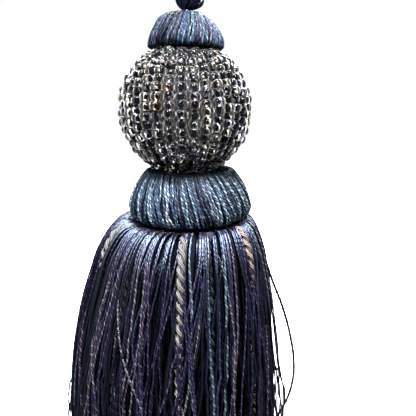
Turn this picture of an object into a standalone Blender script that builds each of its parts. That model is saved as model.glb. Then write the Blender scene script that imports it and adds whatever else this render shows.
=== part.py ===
"""A hanging tassel: a cord loop and its knot, a thread-wrapped upper ruff, a ball ribbed like its
strings of beads, a wider thread-wrapped lower ruff, and a skirt of yarn locks with twisted cords.

Every size below is in millimetres and heights are measured from the ball's centre. MM and
HOOK_HEIGHT turn them into metres, with the origin where the loop bears on its hook, +Z up.
"""

import math
import random

import bmesh
import bpy
import numpy as np
from mathutils import Vector

MM = 0.001
SEAT = 0.3  # clear gap between pieces that rest on each other
FACET_SAG = 0.15  # how far a dished seat's flat facets dip towards the ball
SHARP_ANGLE = math.radians(50)
CURVE_SAMPLES = 24  # points read from a smooth route between two of its own points

# The hanging loop is a cord tied in a knot, and it hangs stretched by the tassel's weight.
HOOK_HEIGHT = 78.5
CORD_DIAMETER = 2.0
CORD_STEP = 2 * CORD_DIAMETER
LOOP_CREST = HOOK_HEIGHT + CORD_DIAMETER / 2
LOOP_ROUTE = [  # x, height, hand-placed up the left leg, over the hook and down the right leg
    (-0.3, 30.8),
    (-0.6, 34.5),
    (-2.4, 46.5),
    (-4.2, 58.5),
    (-5.3, 67.0),
    (-5.5, LOOP_CREST - 5.5),
    (-3.9, LOOP_CREST - 1.6),
    (0.0, LOOP_CREST),
    (3.9, LOOP_CREST - 1.6),
    (5.6, LOOP_CREST - 5.5),
    (5.8, 67.0),
    (5.5, 58.5),
    (4.2, 46.5),
    (2.5, 34.5),
    (2.2, 30.8),
]

# The knot is three turns of the cord round its own legs, above a neck that enters the ruff.
KNOT_X = 0.95
KNOT_COLUMNS = 24
KNOT_LOBES = 3
KNOT_LOBE_DEPTH = 0.3
KNOT_LOBE_LEAN = math.radians(22)  # turn of the lobes for each millimetre of height
KNOT_PROFILE = [  # radius, height, lobed
    (1.5, 21.8, 0),
    (1.3, 22.4, 0),
    (2.0, 23.0, 0),
    (2.9, 23.7, 1),
    (3.5, 24.6, 1),
    (3.7, 25.8, 1),
    (3.7, 27.2, 1),
    (3.5, 28.6, 1),
    (3.1, 29.7, 1),
    (2.6, 30.5, 0),
]

# The ball is covered by upright strings of beads, raised here as ribs.
BALL_RADIUS = 16.1
BEAD_STRINGS = 34
RIB_DEPTH = 1.3
BALL_ROWS = 13

# Both ruffs are turned moulds wrapped in thread, raised here as ridges that run down them.
RUFF_RIDGES = 32
RUFF_RIDGE_DEPTH = 0.28
UPPER_RUFF = [  # radius, height, shift in x, ridged
    (2.6, 21.4, 1.4, 0),
    (2.6, 22.4, 1.4, 0),
    (4.4, 22.3, 0.3, 1),
    (6.2, 20.9, 0.3, 1),
    (7.6, 19.0, 0.3, 1),
    (8.7, 17.0, 0.2, 1),
    (9.1, 15.2, 0.1, 1),
]
UPPER_RIM_RADIUS = 8.8
LOWER_RUFF = [
    (10.3, -13.4, 0.7, 0),
    (11.7, -15.2, 0.7, 1),
    (13.5, -17.4, 0.7, 1),
    (14.8, -19.8, 0.7, 1),
    (15.5, -22.2, 0.7, 1),
    (15.6, -24.0, 0.7, 1),
    (15.1, -25.4, 0.7, 1),
    (13.6, -26.3, 0.7, 0),
]
LOWER_RIM_RADIUS = 9.6
SEAT_ROWS = 3

# The skirt's head is the bound disc that its yarns are sewn to, just below the lower ruff.
HEAD_RADIUS = 14.2
HEAD_SHIFT = 0.4
HEAD_TOP = -26.6
HEAD_BOTTOM = -32.5
HEAD_COLUMNS = 40
ROOT_DEPTH = 0.6  # how far a lock's root reaches into the head

# Each layer of locks follows one row after another of its table, out over the shoulder and down.
LOCK_FILL = 0.72  # a lock's width, as a share of the arc it has to itself
LOCK_THICKNESS = 1.1
WIDEST_LOCK = 1.9
END_RAGGEDNESS = 2.5
OUTER_LAYER = [  # radius, height, shift in x
    (HEAD_RADIUS - ROOT_DEPTH, -27.8, HEAD_SHIFT),
    (16.6, -26.6, -0.6),
    (19.8, -30.0, -1.3),
    (23.1, -40.5, -2.2),
    (26.1, -57.5, -3.0),
    (28.3, -79.5, -3.4),
    (28.6, -120.5, -3.4),
]
MIDDLE_LAYER = [
    (HEAD_RADIUS - ROOT_DEPTH, -30.8, HEAD_SHIFT),
    (17.8, -33.3, -0.8),
    (22.6, -49.5, -2.5),
    (25.2, -79.5, -3.2),
    (25.6, -118.5, -3.4),
]
INNER_LAYER = [
    (9.0, HEAD_BOTTOM + ROOT_DEPTH, HEAD_SHIFT),
    (11.5, -51.5, -1.8),
    (18.5, -117.5, -3.0),
]
DEGREES_PER_LOCK = 5
MIDDLE_LOCKS = 48
INNER_LOCKS = 26

# Twisted two-ply cords are sewn in among the outermost locks, at these angles from the front.
# The skirt hangs with a slight turn: its outer layer goes round by HANG_TURN on its way down.
TWISTED_CORD_ANGLES = [0, 21, 51, 83, 113, 143, 172, 202, 232, 263, 298, 325]
HANG_TURN = math.radians(3.5)
TWISTED_CORD_WIDTH = 2.3
TWISTED_CORD_FLAT = 1.3
TWISTED_CORD_STEPS = 44
TWIST_STEP = math.radians(90)  # four steps a turn, each showing one ply's bulge
TWISTED_CORD_ROOM = TWISTED_CORD_WIDTH + 2 * SEAT
TWISTED_CORD_ROUTE = [(HEAD_RADIUS + SEAT, -28.1, HEAD_SHIFT), (16.6, -27.5, -0.5)] + [
    (radius + 0.2, height, shift) for radius, height, shift in OUTER_LAYER[2:]
]

MATERIALS = {  # name: colour, roughness, metallic
    "loop_cord": ((0.010, 0.013, 0.035), 0.45, 0.0),
    "ruff_thread": ((0.055, 0.085, 0.17), 0.40, 0.0),
    "glass_beads": ((0.20, 0.20, 0.21), 0.12, 0.0),
    "skirt_yarn": ((0.028, 0.032, 0.085), 0.42, 0.0),
    "gimp_cord": ((0.34, 0.30, 0.26), 0.65, 0.0),
}


def clear_scene():
    for obj in list(bpy.data.objects):
        bpy.data.objects.remove(obj, do_unlink=True)


def material(name):
    colour, roughness, metallic = MATERIALS[name]
    made = bpy.data.materials.get(name)
    if made is None:
        made = bpy.data.materials.new(name)
        made.use_nodes = True
        shader = made.node_tree.nodes["Principled BSDF"]
        shader.inputs["Base Color"].default_value = (*colour, 1.0)
        shader.inputs["Roughness"].default_value = roughness
        shader.inputs["Metallic"].default_value = metallic
    return made


def place(x, y, height):
    """A point of the tassel, from millimetres round the ball's centre to metres below the hook."""
    return Vector((x, y, height - HOOK_HEIGHT)) * MM


def add_object(name, mesh, finish):
    bm = bmesh.new()
    bm.from_mesh(mesh)
    bmesh.ops.recalc_face_normals(bm, faces=bm.faces)
    bm.to_mesh(mesh)
    bm.free()
    mesh.shade_smooth()
    mesh.set_sharp_from_angle(angle=SHARP_ANGLE)
    mesh.materials.append(material(finish))
    obj = bpy.data.objects.new(name, mesh)
    bpy.context.scene.collection.objects.link(obj)
    return obj


def turned(name, rings, finish):
    """A closed solid from rings of points, all of one count, with its two ends filled."""
    bm = bmesh.new()
    loops = [[bm.verts.new(point) for point in ring] for ring in rings]
    for upper, lower in zip(loops, loops[1:]):
        for here in range(len(upper)):
            after = (here + 1) % len(upper)
            bm.faces.new((upper[here], lower[here], lower[after], upper[after]))
    for end in (loops[0], loops[-1]):
        centre = bm.verts.new(sum((vert.co for vert in end), Vector()) / len(end))
        for here, vert in enumerate(end):
            bm.faces.new((centre, vert, end[(here + 1) % len(end)]))
    mesh = bpy.data.meshes.new(name)
    bm.to_mesh(mesh)
    bm.free()
    return add_object(name, mesh, finish)


def ball_seat(radius):
    """Height, at this radius, of a dish whose facets clear the ball by SEAT."""
    return math.sqrt((BALL_RADIUS + SEAT + FACET_SAG) ** 2 - radius**2)


def ring(radius, height, columns, shift=0.0, relief=0.0):
    """Points round the axis; relief moves every other one out and the rest in."""
    points = []
    for column in range(columns):
        angle = 2 * math.pi * column / columns
        reach = radius + (relief if column % 2 else -relief)
        points.append(place(shift + reach * math.cos(angle), reach * math.sin(angle), height))
    return points


def smooth_curve(points):
    """Points on a Catmull-Rom curve through the given ones, and how far along each one lies."""
    known = np.array(points, float)
    padded = np.vstack([2 * known[0] - known[1], known, 2 * known[-1] - known[-2]])
    fine = []
    for before, start, end, after in zip(padded, padded[1:], padded[2:], padded[3:]):
        for t in np.linspace(0, 1, CURVE_SAMPLES, endpoint=False):
            bend = 2 * before - 5 * start + 4 * end - after
            twist = 3 * start - before - 3 * end + after
            fine.append(0.5 * (2 * start + (end - before) * t + bend * t**2 + twist * t**3))
    fine = np.array(fine + [known[-1]])
    walked = np.concatenate([[0], np.cumsum(np.linalg.norm(np.diff(fine, axis=0), axis=1))])
    return fine, walked


def even_route(points, step_count):
    """The smooth curve through the points, cut into even steps."""
    fine, walked = smooth_curve(points)
    stops = np.linspace(0, walked[-1], step_count + 1)
    return np.stack([np.interp(stops, walked, column) for column in fine.T], axis=1)


def hanging_loop():
    """The taut cord loop, a round tube from the knot up over the hook and back to the knot."""
    length = smooth_curve(LOOP_ROUTE)[1][-1]
    route = even_route(LOOP_ROUTE, round(length / CORD_STEP))
    curve = bpy.data.curves.new("hanging_loop", "CURVE")
    curve.dimensions = "3D"
    curve.bevel_depth = CORD_DIAMETER / 2 * MM
    curve.bevel_resolution = 2
    curve.use_fill_caps = True
    spline = curve.splines.new("POLY")
    spline.points.add(len(route) - 1)
    for point, (x, height) in zip(spline.points, route):
        point.co = (*place(x, 0, height), 1)
    spline.use_smooth = True
    curve.materials.append(material("loop_cord"))
    obj = bpy.data.objects.new("hanging_loop", curve)
    bpy.context.scene.collection.objects.link(obj)


def knot():
    rings = []
    for radius, height, lobed in KNOT_PROFILE:
        points = []
        for column in range(KNOT_COLUMNS):
            angle = 2 * math.pi * column / KNOT_COLUMNS
            lobe = math.cos(KNOT_LOBES * (angle + KNOT_LOBE_LEAN * height))
            reach = radius + lobed * KNOT_LOBE_DEPTH * lobe
            x = KNOT_X + reach * math.cos(angle)
            points.append(place(x, reach * math.sin(angle), height))
        rings.append(points)
    turned("knot", rings, "loop_cord")


def beaded_ball():
    rings = []
    for row in range(BALL_ROWS):
        latitude = math.pi * (row + 0.5) / BALL_ROWS
        relief = RIB_DEPTH / 2 * math.sin(latitude)
        radius = BALL_RADIUS * math.sin(latitude) - relief
        height = BALL_RADIUS * math.cos(latitude)
        rings.append(ring(radius, height, 2 * BEAD_STRINGS, relief=relief))
    turned("beaded_ball", rings, "glass_beads")


def ruff(name, rows, rim_radius, side):
    """A wrapped ruff: its outer rows, then a dished seat on the ball on the side facing it."""
    columns = 2 * RUFF_RIDGES
    rings = [
        ring(radius, height, columns, shift, RUFF_RIDGE_DEPTH * ridged)
        for radius, height, shift, ridged in rows
    ]
    dish = []
    for row in range(SEAT_ROWS):
        radius = rim_radius * (1 - row / SEAT_ROWS)
        dish.append(ring(radius, side * ball_seat(radius), columns))
    rings = rings + dish if side > 0 else dish[::-1] + rings
    turned(name, rings, "ruff_thread")


def axis_frame(angle):
    """Outward and sideways directions at an angle measured from the front, which faces -Y."""
    outward = Vector((math.sin(angle), -math.cos(angle), 0))
    return outward, Vector((math.cos(angle), math.sin(angle), 0))


def add_strand(bm, spine, sides, sections):
    """A closed strand; sections gives, for each spine point, its outline as (sideways, out)."""
    loops = []
    for index, (point, side, outline) in enumerate(zip(spine, sides, sections)):
        before = spine[max(index - 1, 0)]
        after = spine[min(index + 1, len(spine) - 1)]
        along = (after - before).normalized()
        out = side.cross(along).normalized()
        loops.append([bm.verts.new(point + (side * u + out * v) * MM) for u, v in outline])
    for upper, lower in zip(loops, loops[1:]):
        for here in range(len(upper)):
            after = (here + 1) % len(upper)
            bm.faces.new((upper[here], upper[after], lower[after], lower[here]))
    bm.faces.new(loops[0][::-1])
    bm.faces.new(loops[-1])


def hang_turn(radius):
    """How far round the outer layer has gone where it lies at this radius."""
    return HANG_TURN * (radius - OUTER_LAYER[1][0]) / (OUTER_LAYER[-1][0] - OUTER_LAYER[1][0])


def arc_of(sector, share, radius):
    """Angle at a share of the arc that the locks have between two cords, and that arc's length."""
    start, end = (math.radians(angle) for angle in sector)
    margin = TWISTED_CORD_ROOM / 2 / radius
    arc = end - start - 2 * margin
    return start + margin + share * arc + hang_turn(radius), arc


def lock_outline(width, thickness):
    """Three-sided: flat towards the axis, with a ridge outwards."""
    return [(-width / 2, -thickness / 2), (width / 2, -thickness / 2), (0, thickness / 2)]


def add_lock(bm, rows, angle_at, width_at, rng):
    """One lock of yarn along a layer's rows; angle_at and width_at depend on the radius."""
    lift = rng.uniform(0, END_RAGGEDNESS)
    spine, sides, sections = [], [], []
    for index, (radius, height, shift) in enumerate(rows):
        outward, side = axis_frame(angle_at(radius))
        if index == len(rows) - 1:
            height += lift
        spine.append(place(shift + radius * outward.x, radius * outward.y, height))
        sides.append(side)
        sections.append(lock_outline(width_at(radius), LOCK_THICKNESS))
    add_strand(bm, spine, sides, sections)


def outer_locks(bm, rng):
    ends = TWISTED_CORD_ANGLES[1:] + [TWISTED_CORD_ANGLES[0] + 360]
    for sector in zip(TWISTED_CORD_ANGLES, ends):
        count = round((sector[1] - sector[0]) / DEGREES_PER_LOCK)
        for index in range(count):
            share = (index + 0.5) / count

            def angle_at(radius):
                return arc_of(sector, share, radius)[0]

            def width_at(radius):
                return LOCK_FILL * arc_of(sector, share, radius)[1] * radius / count

            add_lock(bm, OUTER_LAYER, angle_at, width_at, rng)


def even_locks(bm, rows, count, rng):
    """A layer behind the outer one: locks at even angles, as wide as their arc or WIDEST_LOCK."""
    fill = LOCK_FILL * 2 * math.pi / count

    def width_at(radius):
        return min(fill * radius, WIDEST_LOCK)

    for index in range(count):
        angle = 2 * math.pi * (index + 0.5) / count
        add_lock(bm, rows, lambda radius: angle, width_at, rng)


def skirt():
    """The head and its three layers of locks, whose roots a Boolean union fuses into it."""
    rows = [(HEAD_RADIUS, HEAD_TOP), (HEAD_RADIUS, HEAD_BOTTOM)]
    rings = [ring(radius, height, HEAD_COLUMNS, HEAD_SHIFT) for radius, height in rows]
    head = turned("skirt", rings, "skirt_yarn")
    rng = random.Random(7)
    bm = bmesh.new()
    outer_locks(bm, rng)
    even_locks(bm, MIDDLE_LAYER, MIDDLE_LOCKS, rng)
    even_locks(bm, INNER_LAYER, INNER_LOCKS, rng)
    mesh = bpy.data.meshes.new("skirt_locks")
    bm.to_mesh(mesh)
    bm.free()
    locks = add_object("skirt_locks", mesh, "skirt_yarn")
    locks.hide_render = True
    locks.display_type = "WIRE"
    union = head.modifiers.new("fuse_roots", "BOOLEAN")
    union.operation = "UNION"
    union.object = locks


def twisted_cord(number, angle):
    """A two-ply cord: its section is wide across the plies, and turns a step at a time."""
    route = even_route(TWISTED_CORD_ROUTE, TWISTED_CORD_STEPS)
    spine, sides, sections = [], [], []
    for step, (radius, height, shift) in enumerate(route):
        outward, side = axis_frame(math.radians(angle) + hang_turn(radius))
        spine.append(place(shift + radius * outward.x, radius * outward.y, height))
        sides.append(side)
        turn = TWIST_STEP * step
        corners = [(TWISTED_CORD_WIDTH / 2, 0), (0, TWISTED_CORD_FLAT / 2)]
        corners += [(-u, -v) for u, v in corners]
        cos, sin = math.cos(turn), math.sin(turn)
        sections.append([(u * cos - v * sin, u * sin + v * cos) for u, v in corners])
    bm = bmesh.new()
    add_strand(bm, spine, sides, sections)
    name = f"gimp_cord_{number}"
    mesh = bpy.data.meshes.new(name)
    bm.to_mesh(mesh)
    bm.free()
    add_object(name, mesh, "gimp_cord")


clear_scene()
hanging_loop()
knot()
beaded_ball()
ruff("upper_ruff", UPPER_RUFF, UPPER_RIM_RADIUS, 1)
ruff("lower_ruff", LOWER_RUFF, LOWER_RIM_RADIUS, -1)
skirt()
for cord_number, cord_angle in enumerate(TWISTED_CORD_ANGLES, start=1):
    twisted_cord(cord_number, cord_angle)
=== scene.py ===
"""A hanging tassel: cord loop, knot, thread-wrapped ruffs, beaded ball and a long yarn skirt."""

import math

import bmesh
import bpy
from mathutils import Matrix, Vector


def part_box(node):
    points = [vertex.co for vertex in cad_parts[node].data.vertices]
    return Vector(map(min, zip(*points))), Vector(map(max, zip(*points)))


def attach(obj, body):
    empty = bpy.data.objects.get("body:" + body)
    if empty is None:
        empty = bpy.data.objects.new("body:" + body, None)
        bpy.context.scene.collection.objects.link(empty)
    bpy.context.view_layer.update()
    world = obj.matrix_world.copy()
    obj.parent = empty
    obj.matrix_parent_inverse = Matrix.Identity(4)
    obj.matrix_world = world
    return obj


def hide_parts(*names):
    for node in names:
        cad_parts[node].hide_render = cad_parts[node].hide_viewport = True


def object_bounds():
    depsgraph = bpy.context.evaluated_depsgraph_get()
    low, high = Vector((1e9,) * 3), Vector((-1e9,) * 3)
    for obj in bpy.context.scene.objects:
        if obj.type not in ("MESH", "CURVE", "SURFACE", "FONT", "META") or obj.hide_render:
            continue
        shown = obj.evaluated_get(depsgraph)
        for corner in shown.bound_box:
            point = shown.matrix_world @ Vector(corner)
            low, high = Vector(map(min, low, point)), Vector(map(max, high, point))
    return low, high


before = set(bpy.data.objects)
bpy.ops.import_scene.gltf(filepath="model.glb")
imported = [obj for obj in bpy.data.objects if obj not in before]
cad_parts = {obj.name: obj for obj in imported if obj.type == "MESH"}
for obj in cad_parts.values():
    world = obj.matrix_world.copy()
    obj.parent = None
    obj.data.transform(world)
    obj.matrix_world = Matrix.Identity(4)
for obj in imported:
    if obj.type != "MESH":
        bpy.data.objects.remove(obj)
cad_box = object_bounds()
MM = 0.001


# ---- The studio ---------------------------------------------------------------------------
# The tassel hangs in plain white surroundings over a pale floor. Two soft boxes side by side above
# it, a little to the front, give the sheen on every shoulder and the twin glints on each bead, and
# a third one behind lights its back. Clear glass sees a brighter and darker studio than yarn does.

ball_low, ball_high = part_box("beaded_ball")
BALL_CENTRE = (ball_low + ball_high) / 2
EYE_DISTANCE = 100.5 * MM
EYE_RIGHT = 5.27 * MM
EYE_ABOVE_BALL = 0.5 * MM
EYE_TILT = math.radians(14.04)
LENS = 34.42
FILL_LIGHT = 0.012
FLOOR_GLOW = 0.17
FLOOR_BELOW = 25 * MM
FLOOR_SIZE = 4.0
LAMPS = {  # place and aim from the ball's centre, width and depth, all in metres, and watts
    "overhead left": ((-0.16, -0.19, 0.36), (0, 0, 0), 0.14, 0.42, 9.4),
    "overhead right": ((0.10, -0.19, 0.36), (0, 0, 0), 0.14, 0.42, 9.4),
    "rear": ((0.0, 0.36, 0.34), (0, 0.02, -0.03), 0.5, 0.2, 8.0),
}


def linear(hex_colour):
    """An sRGB hex colour as the linear colour that shaders work in."""
    channels = [int(hex_colour[i : i + 2], 16) / 255 for i in (1, 3, 5)]
    return [c / 12.92 if c <= 0.04045 else ((c + 0.055) / 1.055) ** 2.4 for c in channels]


def add(tree, kind, sockets=(), **settings):
    """Adds a node with its settings, and links its inputs, given in order or by name or place.

    A kind in capitals is a step of arithmetic, and so is an input such as ("ADD", one, other).
    """
    if kind.isupper():
        kind, settings["operation"] = "ShaderNodeMath", kind
    made = tree.nodes.new(kind)
    for name, value in settings.items():
        setattr(made, name, value)
    for key, value in sockets.items() if isinstance(sockets, dict) else enumerate(sockets):
        if isinstance(key, int):
            socket = made.inputs[key]
        else:
            socket = next(s for s in made.inputs if s.name == key and s.enabled)
        if isinstance(value, tuple) and isinstance(value[0], str):
            value = add(tree, value[0], value[1:])
        if isinstance(value, bpy.types.Node):
            value = next(s for s in value.outputs if s.enabled)
        if isinstance(value, bpy.types.NodeSocket):
            tree.links.new(value, socket)
        else:
            socket.default_value = value
    return made


def link(obj):
    bpy.context.scene.collection.objects.link(obj)
    return obj


def at(x, y, height):
    """A place in mm from the ball's centre, as the scene's metres."""
    return BALL_CENTRE + Vector((x, y, height)) * MM


def principled(name):
    """A new material, with its node tree and its shader's inputs."""
    material = bpy.data.materials.new(name)
    material.use_nodes = True
    tree = material.node_tree
    return material, tree, tree.nodes["Principled BSDF"].inputs


scene = bpy.context.scene
scene.view_settings.view_transform = "Standard"

camera = link(bpy.data.objects.new("camera", bpy.data.cameras.new("camera")))
camera.data.lens = LENS
camera.data.clip_start = 0.005
camera.location = BALL_CENTRE + Vector((EYE_RIGHT, -EYE_DISTANCE, EYE_ABOVE_BALL))
camera.rotation_euler = (math.pi / 2 - EYE_TILT, 0, 0)
scene.camera = camera

world = bpy.data.worlds.new("studio")
world.use_nodes = True
sky = world.node_tree
backdrop = sky.nodes["Background"]
backdrop.inputs["Color"].default_value = (1, 1, 1, 1)
rays = add(sky, "ShaderNodeLightPath").outputs
sharp = add(sky, "MAXIMUM", (rays["Is Singular Ray"], rays["Is Transmission Ray"]))
way = add(
    sky, "ShaderNodeSeparateXYZ", {"Vector": add(sky, "ShaderNodeTexCoord").outputs["Generated"]}
).outputs
behind = add(
    sky, "ShaderNodeMapRange", {"Value": way["Y"], "From Min": -0.75, "From Max": -0.35, "To Max": 1.3}
)
above = add(
    sky, "ShaderNodeMapRange", {"Value": way["Z"], "From Min": 0.25, "From Max": 0.7, "To Max": 0.9}
)
below = add(
    sky, "ShaderNodeMapRange", {"Value": way["Z"], "From Min": -0.15, "From Max": -0.7, "To Max": 0.4}
)
softbox = add(sky, "MAXIMUM", (("MAXIMUM", behind, above), below))
soft = add(sky, "MULTIPLY_ADD", (below, FLOOR_GLOW, FILL_LIGHT))
lit = add(sky, "ShaderNodeMix", {"Factor": sharp, "A": soft, "B": softbox})
strength = add(sky, "ShaderNodeMix", {"Factor": rays["Is Camera Ray"], "A": lit, "B": 1.0})
sky.links.new(strength.outputs[0], backdrop.inputs["Strength"])
scene.world = world

for name, (place, aim, width, depth, power) in LAMPS.items():
    data = bpy.data.lights.new(name, "AREA")
    data.shape = "RECTANGLE"
    data.size = width
    data.size_y = depth
    data.energy = power
    made = link(bpy.data.objects.new(name, data))
    made.location = BALL_CENTRE + Vector(place)
    made.rotation_euler = (Vector(aim) - Vector(place)).to_track_quat("-Z", "Y").to_euler()

# Matt paper, lit evenly enough to run into the white behind it without an edge.
floor_material, _, floor_shader = principled("matt white paper")
floor_shader["Base Color"].default_value = (0.95, 0.95, 0.95, 1)
floor_shader["Roughness"].default_value = 0.9
floor_shader["Emission Color"].default_value = (1, 1, 1, 1)
floor_shader["Emission Strength"].default_value = 0.97
floor_mesh = bpy.data.meshes.new("floor")
half = FLOOR_SIZE / 2
floor_z = cad_box[0][2] - FLOOR_BELOW
corners = [(-half, -half), (half, -half), (half, half), (-half, half)]
floor_mesh.from_pydata([(x, y, floor_z) for x, y in corners], [], [(0, 1, 2, 3)])
floor_mesh.materials.append(floor_material)
floor = link(bpy.data.objects.new("floor", floor_mesh))
floor.visible_diffuse = False
floor.visible_glossy = False


# ---- Hanging loop -------------------------------------------------------------------------
# The loop is a satin cord of three plies, pulled straight by the tassel's weight from the knot
# up over what it hangs from and back. It is 2 mm thick, and its dark navy rayon has a narrow shine.

CORD_DIAMETER = 2 * MM
CORD_PITCH = 5.5 * MM
LOOP_CREST = 79.5
LOOP_ROUTE = [  # x, height above the ball's centre in mm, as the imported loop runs
    (-0.3, 30.8), (-0.6, 34.5), (-2.4, 46.5), (-4.2, 58.5), (-5.3, 67.0),
    (-5.5, LOOP_CREST - 5.5), (-3.9, LOOP_CREST - 1.6), (0.0, LOOP_CREST),
    (3.9, LOOP_CREST - 1.6), (5.6, LOOP_CREST - 5.5), (5.8, 67.0), (5.5, 58.5), (4.2, 46.5),
    (2.5, 34.5), (2.2, 30.8),
]


SOCKET_KINDS = {int: "NodeSocketInt", float: "NodeSocketFloat", tuple: "NodeSocketVector"}


def group(name, inputs):
    """A Geometry Nodes tree with named inputs, each given a starting value or a kind of socket."""
    tree = bpy.data.node_groups.new(name, "GeometryNodeTree")
    for label, value in inputs.items():
        kind = SOCKET_KINDS.get(type(value), value)
        socket = tree.interface.new_socket(name=label, in_out="INPUT", socket_type=kind)
        if kind != value:
            socket.default_value = value
    tree.interface.new_socket(name="Geometry", in_out="OUTPUT", socket_type="NodeSocketGeometry")
    return tree, tree.nodes.new("NodeGroupInput").outputs


def finish_group(tree, geometry, material):
    """Ends a tree: real geometry, smooth and in its material."""
    realized = add(tree, "GeometryNodeRealizeInstances", {"Geometry": geometry})
    smooth = add(tree, "GeometryNodeSetShadeSmooth", {"Geometry": realized})
    painted = add(tree, "GeometryNodeSetMaterial", {"Geometry": smooth, "Material": material})
    add(tree, "NodeGroupOutput", {"Geometry": painted})


def made_by(tree, name, values):
    """A plain mesh object of what the tree makes with these values for its named inputs."""
    holder = link(bpy.data.objects.new(name, bpy.data.meshes.new(name)))
    modifier = holder.modifiers.new("shape", "NODES")
    modifier.node_group = tree
    for item in tree.interface.items_tree:
        if item.in_out == "INPUT" and item.name in values:
            modifier[item.identifier] = values[item.name]
    graph = bpy.context.evaluated_depsgraph_get()
    shown = holder.evaluated_get(graph)
    mesh = bpy.data.meshes.new_from_object(shown, preserve_all_data_layers=True, depsgraph=graph)
    holder.modifiers.remove(modifier)
    holder.data = mesh
    mesh.name = name
    return holder


def guide(name, points):
    """A curve that a tree follows and that is never shown, through points in metres."""
    curve = bpy.data.curves.new(name, "CURVE")
    curve.dimensions = "3D"
    curve.resolution_u = 24
    spline = curve.splines.new("BEZIER")
    spline.bezier_points.add(len(points) - 1)
    for bezier, point in zip(spline.bezier_points, points):
        bezier.co = point
        bezier.handle_left_type = bezier.handle_right_type = "AUTO"
    made = link(bpy.data.objects.new(name, curve))
    made.hide_render = True
    return made


def line_of(curve_object, count):
    """Evenly spaced points along a guide, for the pieces that follow it."""
    graph = bpy.context.evaluated_depsgraph_get()
    mesh = curve_object.evaluated_get(graph).to_mesh()
    points = [vert.co.copy() for vert in mesh.vertices]
    walked = [0.0]
    for before, after in zip(points, points[1:]):
        walked.append(walked[-1] + (after - before).length)
    line = []
    passed = 0
    for step in range(count + 1):
        goal = walked[-1] * step / count
        while passed < len(points) - 2 and walked[passed + 1] < goal:
            passed += 1
        share = (goal - walked[passed]) / (walked[passed + 1] - walked[passed])
        line.append(points[passed].lerp(points[passed + 1], share))
    return line, walked[-1]


BULGE_WAVES = 420.0  # per metre of ply, where a cord is uneven


def plied_cord_tree():
    """Plies laid side by side along a path and turned round it, as a rope's are."""
    tree, given = group(
        "plied cord",
        {
            "Path": "NodeSocketObject", "Plies": 3, "Diameter": 0.002, "Ply Share": 0.52, "Pitch": 0.0055,
            "Hand": 1.0, "Steps Per Turn": 12, "Sides": 8, "Unevenness": 0.0, "Shade": 0.0,
            "Material": "NodeSocketMaterial",
        },
    )
    path = add(tree, "GeometryNodeObjectInfo", {"Object": given["Path"]}).outputs["Geometry"]
    turns = add(tree, "DIVIDE", (add(tree, "GeometryNodeCurveLength", {"Curve": path}), given["Pitch"]))
    count = add(tree, "MULTIPLY", (turns, given["Steps Per Turn"]))
    even = add(tree, "GeometryNodeResampleCurve", {"Curve": path, "Count": count})
    copies = add(
        tree, "GeometryNodeDuplicateElements", {"Geometry": even, "Amount": given["Plies"]}, domain="SPLINE"
    )
    walked = add(tree, "GeometryNodeSplineParameter").outputs["Length"]
    lain = ("DIVIDE", walked, given["Pitch"])
    share = add(tree, "DIVIDE", (copies.outputs["Duplicate Index"], given["Plies"]))
    turn = add(tree, "MULTIPLY", (("ADD", lain, share), given["Hand"]))
    angle = add(tree, "MULTIPLY", (turn, math.tau))
    normal = add(tree, "GeometryNodeInputNormal")
    tangent = add(tree, "GeometryNodeInputTangent")
    across = add(tree, "ShaderNodeVectorMath", (tangent, normal), operation="CROSS_PRODUCT")
    one = add(tree, "ShaderNodeVectorMath", {0: normal, "Scale": ("COSINE", angle)}, operation="SCALE")
    other = add(tree, "ShaderNodeVectorMath", {0: across, "Scale": ("SINE", angle)}, operation="SCALE")
    way = add(tree, "ShaderNodeVectorMath", (one, other), operation="ADD")
    radius = add(tree, "MULTIPLY", (given["Diameter"], 0.5))
    ply_radius = add(tree, "MULTIPLY", (radius, given["Ply Share"]))
    reach = add(tree, "SUBTRACT", (radius, ply_radius))
    offset = add(tree, "ShaderNodeVectorMath", {0: way, "Scale": reach}, operation="SCALE")
    laid = add(tree, "GeometryNodeSetPosition", {"Geometry": copies, "Offset": offset})
    shaded = add(
        tree, "GeometryNodeStoreNamedAttribute",
        {"Geometry": laid, "Name": "shade", "Value": given["Shade"]},
    )
    where = add(tree, "ShaderNodeCombineXYZ", {"X": ("MULTIPLY", walked, BULGE_WAVES), "Y": share})
    bulge = add(tree, "ShaderNodeTexNoise", {"Vector": where, "Scale": 1.0, "Detail": 1.0})
    bulge = add(tree, "ADD", (("MULTIPLY", ("SUBTRACT", bulge, 0.5), given["Unevenness"]), 1.0))
    width = add(tree, "MULTIPLY", (ply_radius, bulge))
    geometry = tube(tree, shaded, width, given["Sides"], walked)
    finish_group(tree, geometry, given["Material"])
    return tree


def tube(tree, curves, radius, sides, walked):
    """Round tubes on curves, which keep where each point is along its thread and around it."""
    marked = add(
        tree, "GeometryNodeStoreNamedAttribute", {"Geometry": curves, "Name": "along", "Value": walked}
    )
    circle = add(tree, "GeometryNodeCurvePrimitiveCircle", {"Resolution": sides, "Radius": 1.0})
    outline = add(
        tree, "GeometryNodeStoreNamedAttribute",
        {"Geometry": circle, "Name": "around", "Value": add(tree, "GeometryNodeInputPosition")},
        data_type="FLOAT_VECTOR",
    )
    return add(
        tree, "GeometryNodeCurveToMesh",
        {"Curve": marked, "Profile Curve": outline, "Scale": radius, "Fill Caps": True},
    )


def coloured(tree, shade, colours, interpolation="LINEAR"):
    """The colour that a shade from 0 to 1 stands for, by places and hex colours along it."""
    ramp = add(tree, "ShaderNodeValToRGB", {"Fac": shade})
    ramp.color_ramp.interpolation = interpolation
    stops = ramp.color_ramp.elements
    while len(stops) < len(colours):
        stops.new(1.0)
    for stop, (place, colour) in zip(stops, colours):
        stop.position = place
        stop.color = (*linear(colour), 1)
    return ramp.outputs["Color"]


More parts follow.
